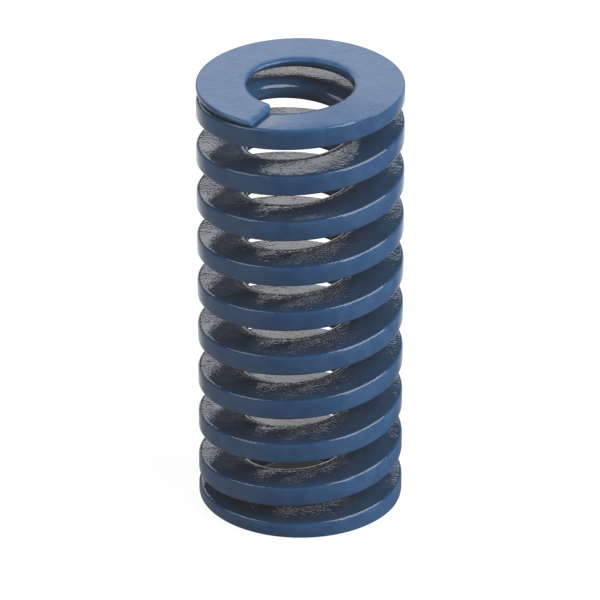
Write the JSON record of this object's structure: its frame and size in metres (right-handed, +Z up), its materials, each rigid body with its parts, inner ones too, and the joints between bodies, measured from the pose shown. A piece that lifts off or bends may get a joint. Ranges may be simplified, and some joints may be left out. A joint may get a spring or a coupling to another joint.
{
  "type": "die spring",
  "caption": "Rectangular-bar compression spring, right-hand wound, closed and ground flat at both ends, for a guided pocket or a guide rod.",
  "frame": {"origin": "centre of the ground bottom face, on the spring's axis", "axes": "+Z up along the spring's axis to the other ground face; the end of the bar lies on the upper ground face 121 degrees clockwise from +X seen from above, and on the lower one 48 degrees anticlockwise from +X"},
  "size_m": [0.027, 0.027, 0.06],
  "materials": {
    "blue_paint": "gloss blue enamel, slightly pebbled, thinner and paler on the ground end faces"
  },
  "bodies": {
    "root": {"coil": "blue_paint"}
  },
  "joints": []
}
